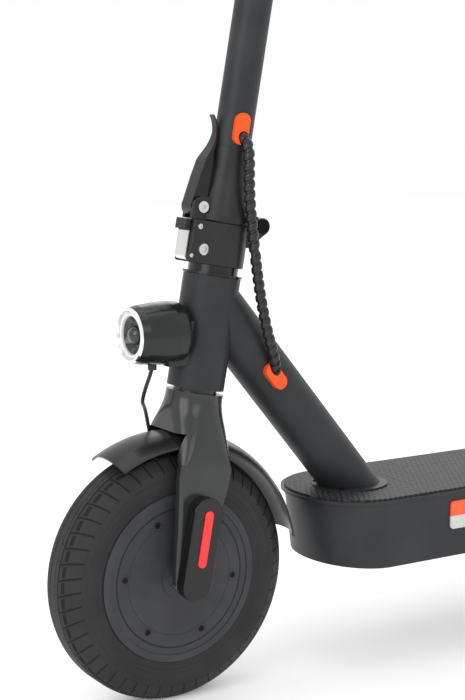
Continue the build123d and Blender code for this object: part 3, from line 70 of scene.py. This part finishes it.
bpy.ops.object.select_all(action="DESELECT")
for name, place, size, power in (("soft_box_left", (-2.6, -0.9, 1.5), 1.6, 20.0),
                                 ("soft_box_front", (-0.9, -2.9, 2.0), 1.4, 9.0),
                                 ("soft_box_right", (1.6, 2.2, 1.9), 1.8, 12.0),
                                 ("soft_box_top", (-0.2, 0.1, 3.2), 2.2, 14.0)):
    lamp = bpy.data.lights.new(name, "AREA")
    lamp.energy = power
    lamp.size = size
    box = bpy.data.objects.new(name, lamp)
    bpy.context.scene.collection.objects.link(box)
    box.location = place
    aim = Vector((-0.3, 0.0, 0.4)) - Vector(place)
    box.rotation_euler = aim.to_track_quat("-Z", "Y").to_euler()


class Shade:
    """One socket of a material, so that sums on it can be written as Python."""

    def __init__(self, tree, socket):
        self.tree = tree
        self.socket = socket

    def node(self, kind, settings, inputs, out=0):
        made = self.tree.nodes.new("ShaderNode" + kind)
        for name, value in settings.items():
            setattr(made, name, value)
        for name, value in inputs.items():
            if isinstance(value, Shade):
                self.tree.links.new(value.socket, made.inputs[name])
            else:
                made.inputs[name].default_value = value
        return Shade(self.tree, made.outputs[out])

    def sum(self, operation, first, second=0.0):
        return self.node("Math", {"operation": operation}, {0: first, 1: second})

    def __add__(self, other):
        return self.sum("ADD", self, other)

    __radd__ = __add__

    def __sub__(self, other):
        return self.sum("SUBTRACT", self, other)

    def __rsub__(self, other):
        return self.sum("SUBTRACT", other, self)

    def __mul__(self, other):
        return self.sum("MULTIPLY", self, other)

    __rmul__ = __mul__

    def __truediv__(self, other):
        return self.sum("DIVIDE", self, other)

    def __abs__(self):
        return self.sum("ABSOLUTE", self)

    def over(self, low, high):
        """0 below low, 1 above high, and a smooth step between them."""
        steps = {"interpolation_type": "SMOOTHSTEP"}
        return self.node("MapRange", steps, {"Value": self, "From Min": low, "From Max": high})

    def near(self, middle, half):
        """1 at the middle value, falling smoothly to 0 that far on either side of it."""
        return 1 - abs(self - middle).over(0.35 * half, half)

    def wave(self):
        """Distance from the middle of each whole step, 0 to 0.5."""
        return abs(self.sum("FRACT", self) - 0.5)


def finish(name, colour, roughness, centre=(0.0, 0.0, 0.0), relief=None, paint=None,
           second=(0, 0, 0), metallic=0.0, coat=0.0, grain=(900.0, 0.00003), glow=0.0, mottle=0.16):
    """A moulded, cast or painted surface: cloudy colour and gloss, a fine grain, and its own relief."""
    material = bpy.data.materials.new(name)
    material.use_nodes = True
    tree = material.node_tree
    surface = tree.nodes["Principled BSDF"]
    start = Shade(tree, None)
    where = start.node("TexCoord", {}, {}, out="Object")
    where = start.node("Mapping", {}, {"Vector": where, "Location": [-value for value in centre]})
    x, y, z = (start.node("SeparateXYZ", {}, {"Vector": where}, out=axis) for axis in range(3))
    cloud = start.node("TexNoise", {}, {"Vector": where, "Scale": 22.0, "Detail": 5.0})
    scuff = start.node("TexNoise", {}, {"Vector": where, "Scale": 140.0, "Detail": 3.0})
    fine = start.node("TexNoise", {}, {"Vector": where, "Scale": grain[0], "Detail": 2.0})
    dark = [(1 - mottle) * value for value in colour]
    light = [min(1.0, (1 + mottle) * value) for value in colour]
    mixed = {0: cloud.over(0.3, 0.7), 6: (*dark, 1), 7: (*light, 1)}
    shown = start.node("Mix", {"data_type": "RGBA"}, mixed, out=2)
    if paint:
        mixed = {0: paint(x, y, z), 6: shown, 7: (*second, 1)}
        shown = start.node("Mix", {"data_type": "RGBA"}, mixed, out=2)
    tree.links.new(shown.socket, surface.inputs["Base Color"])
    gloss = roughness - 0.05 + cloud * 0.06 + scuff * 0.06
    tree.links.new(gloss.socket, surface.inputs["Roughness"])
    height = fine * grain[1]
    if relief:
        height = height + relief(x, y, z)
    bump = start.node("Bump", {}, {"Height": height, "Strength": 1.0, "Distance": 1.0})
    tree.links.new(bump.socket, surface.inputs["Normal"])
    surface.inputs["Metallic"].default_value = metallic
    surface.inputs["Coat Weight"].default_value = coat
    surface.inputs["Coat Roughness"].default_value = 0.12
    surface.inputs["Specular IOR Level"].default_value = 0.28
    if glow:
        tree.links.new(shown.socket, surface.inputs["Emission Color"])
        surface.inputs["Emission Strength"].default_value = glow
    return material


bpy.ops.mesh.primitive_plane_add(size=14.0, location=(0.0, 0.0, 0.0))
floor = bpy.context.object
floor.name = "floor"
floor.data.materials.append(finish("floor_paper", (0.96, 0.96, 0.96), 0.8, mottle=0.01, grain=(60.0, 0.0),
                                   glow=0.1))

# ------------------------------------------------------------------ wiring harness and motor cable
# The harness runs from the stem to the down tube outside the hinge: cables inside a black spiral
# wrap, pushed through a rubber grommet at each end.
HARNESS_R = 0.00575
WRAP_PITCH = 0.0092
WRAP_HALF_THICK = 0.0008
WRAP_HALF_WIDTH = 0.0034
CORE_R = HARNESS_R - 0.0014
CABLE_R = 0.002
UPPER_ROUTE = ((-0.3905, -0.0158, 0.5600), (-0.3885, -0.0268, 0.5535), (-0.3890, -0.0310, 0.5380),
               (-0.3895, -0.0315, 0.5160), (-0.3880, -0.0310, 0.4940), (-0.3860, -0.0315, 0.4730),
               (-0.3825, -0.0315, 0.4480))
LOWER_ROUTE = ((-0.3825, -0.0315, 0.4480), (-0.3790, -0.0315, 0.4230), (-0.3750, -0.0325, 0.3980),
               (-0.3700, -0.0340, 0.3730), (-0.3640, -0.0355, 0.3500), (-0.3575, -0.0335, 0.3330),
               (-0.3535, -0.0255, 0.3225))
CABLE_ROUTE = ((-0.4795, 0.0010, 0.3345), (-0.4820, 0.0013, 0.3260), (-0.4850, 0.0035, 0.3160),
               (-0.4850, 0.0090, 0.3055), (-0.4815, 0.0175, 0.2975), (-0.4725, 0.0295, 0.2915),
               (-0.4640, 0.0410, 0.2815), (-0.4575, 0.0485, 0.2685), (-0.4525, 0.0520, 0.2540),
               (-0.4475, 0.0530, 0.2400), (-0.44589, 0.0530, 0.22553), (-0.4488, 0.0530, 0.20878))


def route_curve(name, route, radius):
    """A smooth curve along a cord's route, with a round section."""
    line = bpy.data.curves.new(name, "CURVE")
    line.dimensions = "3D"
    line.resolution_u = 10
    line.bevel_depth = radius
    line.bevel_resolution = 5
    line.use_fill_caps = radius > 0
    spline = line.splines.new("NURBS")
    spline.points.add(len(route) - 1)
    for point, place in zip(spline.points, route):
        point.co = (*place, 1.0)
    spline.order_u = 3
    spline.use_endpoint_u = True
    made = bpy.data.objects.new(name, line)
    bpy.context.scene.collection.objects.link(made)
    return made


def as_mesh(made):
    bpy.ops.object.select_all(action="DESELECT")
    made.select_set(True)
    bpy.context.view_layer.objects.active = made
    bpy.ops.object.convert(target="MESH")
    return bpy.context.object


def apply_all(made):
    bpy.ops.object.select_all(action="DESELECT")
    made.select_set(True)
    bpy.context.view_layer.objects.active = made
    for modifier in list(made.modifiers):
        bpy.ops.object.modifier_apply(modifier=modifier.name)


def centre_line(route):
    """The points that a cord follows, and its length."""
    line = as_mesh(route_curve("line", route, 0.0))
    points = [vertex.co.copy() for vertex in line.data.vertices]
    bpy.data.objects.remove(line)
    return points, sum((b - a).length for a, b in zip(points, points[1:]))


wrap_black = finish("spiral_wrap_black", (0.012, 0.012, 0.013), 0.3, coat=0.3, grain=(1500.0, 0.00002))


def harness(name, route):
    """A core of cables with a flat plastic spiral wound round it."""
    points, length = centre_line(route)
    core = as_mesh(route_curve(name, route, CORE_R))
    middle = (HARNESS_R - WRAP_HALF_THICK, 0.0, 0.0)
    bpy.ops.object.select_all(action="DESELECT")
    bpy.ops.mesh.primitive_circle_add(vertices=10, radius=1.0, location=middle)
    wrap = bpy.context.object
    bpy.ops.object.mode_set(mode="EDIT")
    bpy.ops.mesh.select_all(action="SELECT")
    bpy.ops.transform.resize(value=(WRAP_HALF_THICK, WRAP_HALF_WIDTH, 1.0), center_override=middle)
    bpy.ops.transform.rotate(value=radians(90), orient_axis="X", center_override=middle)
    bpy.ops.object.mode_set(mode="OBJECT")
    bpy.ops.object.transform_apply(location=True, rotation=True, scale=True)
    turns = int(length / WRAP_PITCH)
    coil = wrap.modifiers.new("coil", "SCREW")
    coil.axis = "Z"
    coil.angle = tau
    coil.screw_offset = length / turns * 0.995
    coil.iterations = turns
    coil.steps = 20
    coil.render_steps = 20
    coil.use_normal_calculate = True
    apply_all(wrap)
    guide = route_curve(name + "_guide", route, 0.0)
    lowest = min(vertex.co.z for vertex in wrap.data.vertices)
    wrap.data.transform(Matrix.Translation((0.0, 0.0, -lowest)))
    lay = wrap.modifiers.new("lay", "CURVE")
    lay.object = guide
    lay.deform_axis = "POS_Z"
    apply_all(wrap)
    bpy.data.objects.remove(guide)
    bpy.ops.object.select_all(action="DESELECT")
    wrap.select_set(True)
    core.select_set(True)
    bpy.context.view_layer.objects.active = core
    bpy.ops.object.join()
    bpy.ops.object.mode_set(mode="EDIT")
    bpy.ops.mesh.select_all(action="SELECT")
    bpy.ops.mesh.normals_make_consistent(inside=False)
    bpy.ops.object.mode_set(mode="OBJECT")
    bpy.ops.object.shade_smooth()
    core.data.materials.clear()
    core.data.materials.append(wrap_black)
    return core, points


upper, points = harness("harness_upper_wrapped", UPPER_ROUTE)
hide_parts("harness_upper")
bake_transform(upper)
lower, points = harness("harness_lower_wrapped", LOWER_ROUTE)
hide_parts("harness_lower")
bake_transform(lower)

# The front lamp's and motor's thin cable bows forward from the lamp's gland, passes the crown and
# goes down into the right axle cover. It is a plain round black cable, free between its two ends.
cable_points = centre_line(CABLE_ROUTE)[0]
cable = as_mesh(route_curve("motor_cable_jacket", CABLE_ROUTE, CABLE_R))
bpy.ops.object.shade_smooth()
cable.data.materials.clear()
cable.data.materials.append(finish("cable_black", (0.02, 0.02, 0.021), 0.42, grain=(1200.0, 0.00002)))
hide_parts("motor_cable")
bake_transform(cable)


def dress(material, *names):
    """Give CAD nodes one finish each."""
    for name in names:
        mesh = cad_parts[name].data
        mesh.materials.clear()
        mesh.materials.append(material)


# Both grommets are bright orange rubber, oval, pressed into the tubes' walls.
dress(finish("orange_rubber", (0.86, 0.085, 0.010), 0.42, grain=(800.0, 0.00003), mottle=0.05),
      "frame_grommet", "stem_grommet")

# ------------------------------------------------------------------ tyres
# Moulded black rubber with a road tread: two fine grooves on each half of the crown, a dashed
# groove outside them, and slanting slots across each shoulder. The side walls carry fine rings.
FRONT_AXLE = (-0.463, 0.0, 0.127)
REAR_AXLE = (0.437, 0.0, 0.127)
SLOTS = 50
CROWN_LINE = 0.0045
SHOULDER_LINE = 0.0105
DASH_LINE = 0.0160


def tread(x, y, z):
    side = abs(y)
    radius = x.sum("SQRT", x * x + z * z)
    turn = x.sum("ARCTAN2", z, x) * (SLOTS / tau)
    slant = turn + side * 26.0
    slot = slant.wave().near(0.0, 0.075) * side.over(0.0102, 0.0108) * radius.over(0.1085, 0.1105)
    line = side.near(SHOULDER_LINE, 0.0011) + side.near(CROWN_LINE, 0.0009)
    dash = side.near(DASH_LINE, 0.0014) * slant.wave().over(0.16, 0.2) * radius.over(0.11, 0.112)
    crown = (turn + 0.5).wave().near(0.0, 0.06) * side.over(0.0045, 0.0049) * (1 - side.over(0.0078, 0.0082))
    rings = radius.near(0.0965, 0.0006) + radius.near(0.1035, 0.0005) + radius.near(0.0925, 0.0006)
    cut = slot.sum("MAXIMUM", slot.sum("MAXIMUM", slot, line), dash.sum("MAXIMUM", dash, crown))
    return cut, rings * (1 - radius.over(0.105, 0.106))


def tread_relief(x, y, z):
    cut, rings = tread(x, y, z)
    return rings * 0.0003 - cut * 0.0016


# The grooves are painted near black as well as cut: painted shade in the tread's recesses.
def tread_painted_shade(x, y, z):
    cut, rings = tread(x, y, z)
    return cut


for name, axle in (("front_tyre", FRONT_AXLE), ("rear_tyre", REAR_AXLE)):
    dress(finish(name + "_rubber", (0.020, 0.020, 0.0215), 0.6, centre=axle, relief=tread_relief,
                 paint=tread_painted_shade, second=(0.004, 0.004, 0.004), grain=(700.0, 0.00005)), name)

# ------------------------------------------------------------------ hub motor and wheels
# The front wheel's cast rim is the motor's shell. Two matte grey covers close it, each with a
# turned groove near its edge, a thin line from boss to boss and six recessed socket screws.
SCREW_CIRCLE = 0.0617
SCREW_TURN = 0.1
GROOVE_R = 0.0705
LINE_R = 0.0575
BOSS_R = 0.0055
matte_grey = dict(colour=(0.036, 0.037, 0.040), roughness=0.5)


def cover_lines(x, y, z):
    radius = x.sum("SQRT", x * x + z * z)
    share = x.sum("ARCTAN2", z, x) * (6.0 / tau) + SCREW_TURN + 0.5
    swing = (share.sum("FRACT", share) - 0.5) * (tau / 6.0)
    along = radius * swing.sum("COSINE", swing) - SCREW_CIRCLE
    across = radius * swing.sum("SINE", swing)
    boss = x.sum("SQRT", along * along + across * across)
    thin = radius.near(LINE_R, 0.00045) * boss.over(0.0050, 0.0056)
    ring = boss.near(BOSS_R, 0.00045) * (1 - radius.over(0.062, 0.0625))
    return radius.near(GROOVE_R, 0.0009), thin.sum("MAXIMUM", thin, ring)


def cover_relief(x, y, z):
    groove, thin = cover_lines(x, y, z)
    return groove * -0.0010 - thin * 0.0003


# The groove, the thin line and the rings round the screw bosses are painted darker: painted shade in these
# recesses.
def cover_painted_shade(x, y, z):
    groove, thin = cover_lines(x, y, z)
    return groove * 0.8 + thin * 0.35


dress(finish("motor_cover_grey", centre=FRONT_AXLE, relief=cover_relief, paint=cover_painted_shade,
             second=(0.008, 0.008, 0.009), grain=(500.0, 0.00004), **matte_grey), "motor_covers")
dress(finish("wheel_grey", grain=(420.0, 0.00005), **matte_grey), "motor_hub_shell", "rear_rim")
dress(finish("black_screws", (0.012, 0.012, 0.013), 0.38, metallic=0.6), "motor_cover_screws", "deck_screws")


def turned_lines(x, y, z):
    return (z * 2600.0).wave() * 0.00002


steel = finish("plain_steel", (0.62, 0.61, 0.59), 0.28, relief=turned_lines, metallic=1.0, mottle=0.08)
dress(steel, "front_axle_stator", "front_wheel_bearings", "rear_wheel_bearings", "rear_axle",
      "headset_bearings", "brake_disc", "lever_pin", "moving_brake_pad")


PIN_FROM_X = -0.4


def pin_ends(x, y, z):
    return x.over(PIN_FROM_X - 0.001, PIN_FROM_X + 0.001)


dress(finish("hinge_steel", (0.62, 0.61, 0.59), 0.28, paint=pin_ends, second=(0.012, 0.012, 0.013),
             metallic=1.0, mottle=0.08), "hinge_fasteners")

# ------------------------------------------------------------------ fork, fenders and axle covers
# The fork is a cast and welded crown with two flat legs, painted satin black. The fenders are
# bent steel sheet in glossier paint. Gloss moulded covers with red prisms hide the axle nuts.
dress(finish("fork_satin_black", (0.019, 0.020, 0.020), 0.28, coat=0.45, grain=(260.0, 0.00004)), "fork")
dress(finish("fender_black", (0.014, 0.0145, 0.015), 0.3, coat=0.2, grain=(320.0, 0.00003)),
      "front_fender", "rear_fender")
dress(finish("cover_gloss_black", (0.007, 0.007, 0.0075), 0.16, coat=0.2, grain=(300.0, 0.00001)),
      "front_axle_covers", "rear_axle_covers", "headset_collar")


def prisms(x, y, z):
    return ((x + z) * 420.0).wave() * 0.0005 + ((x - z) * 420.0).wave() * 0.0005


# The red reflectors and the tail lens glow faintly: a painted glow, not lamp light.
dress(finish("reflector_red", (0.86, 0.022, 0.024), 0.25, relief=prisms, coat=0.4, glow=0.12, mottle=0.05),
      "front_reflectors", "tail_light")

# ------------------------------------------------------------------ frame, stem and folding hinge
# Round alloy tubes welded at the head tube and closed on the deck by an oval flange, all in one
# matte charcoal powder coat. The hinge halves are die castings in a darker, glossier black.
charcoal = finish("charcoal_powder_coat", (0.0205, 0.0215, 0.0235), 0.44, grain=(650.0, 0.00005))
dress(charcoal, "main_frame", "stem_tube", "bar_clamp", "handlebar", "rear_fork",
      "kickstand_bracket", "kickstand")
dress(finish("casting_black", (0.016, 0.0165, 0.0175), 0.36, grain=(520.0, 0.00006)),
      "hinge_base", "hinge_head")

# The latch: a glossy moulded lever on a cross screw, and a pressed steel hook plate with a black
# thumb block. The plate takes the lever's pull when the stem stands up.
dress(finish("lever_gloss_black", (0.005, 0.005, 0.0055), 0.22, coat=0.15, grain=(260.0, 0.00002)),
      "latch_lever")
top_of_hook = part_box("latch_hook")[1].z - 0.0125


def thumb_block(x, y, z):
    return z.over(top_of_hook, top_of_hook + 0.0008)


hook = finish("hook_plate", (0.72, 0.72, 0.71), 0.22, paint=thumb_block, second=(0.01, 0.01, 0.01),
              mottle=0.06)
hook_tree = hook.node_tree
hook_start = Shade(hook_tree, None)
hook_where = hook_start.node("TexCoord", {}, {}, out="Object")
hook_z = hook_start.node("SeparateXYZ", {}, {"Vector": hook_where}, out=2)
hook_tree.links.new((1 - thumb_block(hook_z, hook_z, hook_z)).socket,
                    hook_tree.nodes["Principled BSDF"].inputs["Metallic"])
dress(hook, "latch_hook")

# ------------------------------------------------------------------ headlamp
# A gloss bullet housing on the head tube. A polished ring holds the clear front; inside, a dark
# reflector dish runs back to a domed projector lens with a bright painted highlight ring round it.
LAMP_AXIS = (-0.505, 0.0, 0.368)
EYE_R = 0.0245
EYE_SET_BACK = 0.0085
dress(finish("lamp_housing_gloss", (0.008, 0.0105, 0.0105), 0.2, coat=0.25, grain=(240.0, 0.00001)),
      "headlamp_shell")
dress(finish("polished_ring", (0.88, 0.88, 0.89), 0.09, metallic=1.0, mottle=0.03, grain=(300.0, 0.00001)),
      "headlamp_bezel")
bpy.ops.object.select_all(action="DESELECT")
lens_low, lens_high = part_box("headlamp_lens")
bpy.ops.mesh.primitive_circle_add(vertices=72, radius=EYE_R, fill_type="NGON",
                                  location=(lens_low.x + EYE_SET_BACK, 0.0, LAMP_AXIS[2]),
                                  rotation=(0.0, -pi / 2, 0.0))
eye = bpy.context.object
eye.name = "lamp_dish_and_lens"
bpy.ops.object.mode_set(mode="EDIT")
bpy.ops.mesh.select_all(action="SELECT")
for thickness, depth in ((0.0030, 0.0), (0.0008, 0.0014), (0.0012, 0.0), (0.0008, -0.0020),
                         (0.0050, -0.0052), (0.0012, -0.0012), (0.0006, 0.0014), (0.0010, 0.0),
                         (0.0006, -0.0008), (0.0006, 0.0030), (0.0020, 0.0032), (0.0026, 0.0022),
                         (0.0026, 0.0011), (0.0020, 0.0003)):
    bpy.ops.mesh.inset(thickness=thickness, depth=depth)
bpy.ops.object.mode_set(mode="OBJECT")
bpy.ops.object.transform_apply(location=True, rotation=True, scale=True)
bpy.ops.object.shade_smooth_by_angle(angle=radians(32))


def eye_radius(x, y, z):
    return x.sum("SQRT", y * y + z * z)


# Pale rings painted on the dark non-metal dish and round the lens: painted highlights in place of chrome
# reflections.
def eye_painted_highlights(x, y, z):
    radius = eye_radius(x, y, z)
    return radius.near(0.0205, 0.0028) + radius.near(0.0118, 0.0022)


eye.data.materials.append(finish("lamp_inner", (0.010, 0.012, 0.012), 0.13, paint=eye_painted_highlights,
                                 centre=(LAMP_AXIS[0], 0.0, LAMP_AXIS[2]), second=(0.75, 0.76, 0.77),
                                 coat=0.8, grain=(200.0, 0.0), mottle=0.1))
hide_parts("headlamp_lens")
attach(eye, "frame")

# ------------------------------------------------------------------ deck
# An extruded alloy tub with a cast nose, a thin lid over both, and a ribbed rubber mat glued on
# the lid. The mat has fine zigzag ribs and one plain raised outline down its middle.
tub_coat = finish("deck_charcoal", (0.0225, 0.0235, 0.0255), 0.4, grain=(480.0, 0.00006))
dress(tub_coat, "deck_nose", "deck_body", "deck_lid")

OUTLINE_X = 0.02
OUTLINE_HALF = 0.2
OUTLINE_HALF_WIDTH = 0.034


def mat_ribs(x, y, z):
    zigzag = (y * 95.0).wave() * 1.15
    rib = (x * 150.0 + zigzag).wave().over(0.16, 0.34)
    from_middle = abs(x - OUTLINE_X)
    edge = abs(abs(y) - OUTLINE_HALF_WIDTH).over(0.0, 0.0014)
    sides = (1 - edge) * (1 - from_middle.over(OUTLINE_HALF - 0.0005, OUTLINE_HALF + 0.0005))
    ends = 1 - abs(from_middle - OUTLINE_HALF).over(0.0, 0.0014)
    ends = ends * (1 - abs(y).over(OUTLINE_HALF_WIDTH, OUTLINE_HALF_WIDTH + 0.0006))
    return rib, sides.sum("MAXIMUM", sides, ends)


def mat_relief(x, y, z):
    rib, outline = mat_ribs(x, y, z)
    return rib.sum("MAXIMUM", rib, outline) * 0.0007 + outline * 0.0004


# The low ground between the ribs and round the outline is painted darker: painted shade between the ribs.
def mat_painted_shade(x, y, z):
    rib, outline = mat_ribs(x, y, z)
    return (1 - rib.sum("MAXIMUM", rib, outline)) * 0.75


dress(finish("deck_mat_rubber", (0.040, 0.041, 0.043), 0.52, relief=mat_relief, paint=mat_painted_shade,
             second=(0.006, 0.006, 0.006), grain=(900.0, 0.00004)), "deck_mat")


strip_low, strip_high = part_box("frame_reflectors")
pale_top = strip_high.z - 0.3 * (strip_high.z - strip_low.z)


def side_reflector(x, y, z):
    return 1 - z.over(pale_top - 0.0004, pale_top + 0.0004)


# The side reflectors glow faintly too: a painted glow, not lamp light.
dress(finish("reflector_orange_painted_glow", (1.0, 0.09, 0.02), 0.25, relief=prisms, paint=side_reflector,
             second=(0.55, 0.55, 0.53), coat=0.4, glow=0.08, mottle=0.05), "frame_reflectors")
dress(finish("socket_black", (0.014, 0.014, 0.015), 0.4),
      "charge_socket", "charge_cap", "brake_caliper", "caliper_arm")
dress(finish("battery_wrap", (0.02, 0.06, 0.16), 0.35, coat=0.3), "deck_electronics")

# ------------------------------------------------------------------ handlebar and controls
# Soft ribbed rubber grips, a moulded display housing with a dark window, a forged brake lever in
# a clamp on the left, and a thumb throttle on the right. All are black.
black_mould = finish("control_mould", (0.014, 0.014, 0.015), 0.42, grain=(700.0, 0.00006))
dress(black_mould, "display_housing", "control_mounts", "throttle_paddle")


RIBS_FROM = 0.113
RIBS_TO = 0.207


def grip_ribs(x, y, z):
    ribbed = abs(y).over(RIBS_FROM - 0.001, RIBS_FROM + 0.001)
    ribbed = ribbed * (1 - abs(y).over(RIBS_TO - 0.001, RIBS_TO + 0.001))
    return (y * 260.0).wave().over(0.1, 0.4) * 0.0006 * ribbed


dress(finish("grip_rubber", (0.018, 0.018, 0.019), 0.62, relief=grip_ribs, grain=(900.0, 0.00005)), "grips")
dress(finish("display_window", (0.004, 0.004, 0.005), 0.08, coat=0.8, grain=(100.0, 0.0)), "display_lens")
dress(finish("lever_satin_black", (0.012, 0.012, 0.0125), 0.28, coat=0.2), "brake_lever")
dress(finish("button_red", (0.5, 0.03, 0.02), 0.4), "power_button")
